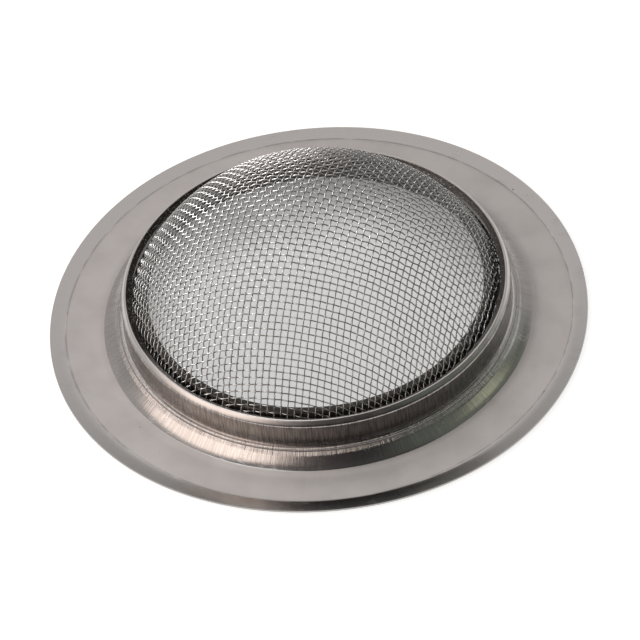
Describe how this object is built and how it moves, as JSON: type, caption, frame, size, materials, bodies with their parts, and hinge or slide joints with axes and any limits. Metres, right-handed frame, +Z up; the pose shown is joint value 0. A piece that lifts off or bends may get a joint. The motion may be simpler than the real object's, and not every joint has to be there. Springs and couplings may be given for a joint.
{
  "type": "sink strainer",
  "caption": "Sink strainer lying upside down: a flat round steel rim with a bent-up edge, a raised collar with a rolled lip, and a woven wire mesh dome clamped in it.",
  "frame": {"origin": "centre of the strainer on the plane that its rim lies on", "axes": "+Z up along the axis of the round rim, from the rim towards the top of the mesh dome; the part lies upside down, as pictured"},
  "size_m": [0.114, 0.114, 0.0332],
  "materials": {
    "satin_steel": "satin, worn, with fine scratches",
    "wire_steel": "bright drawn wire",
    "ring_steel": "satin"
  },
  "bodies": {
    "root": {"rim_and_collar": "satin_steel", "mesh_basket": "wire_steel", "clamp_ring": "ring_steel"}
  },
  "joints": []
}
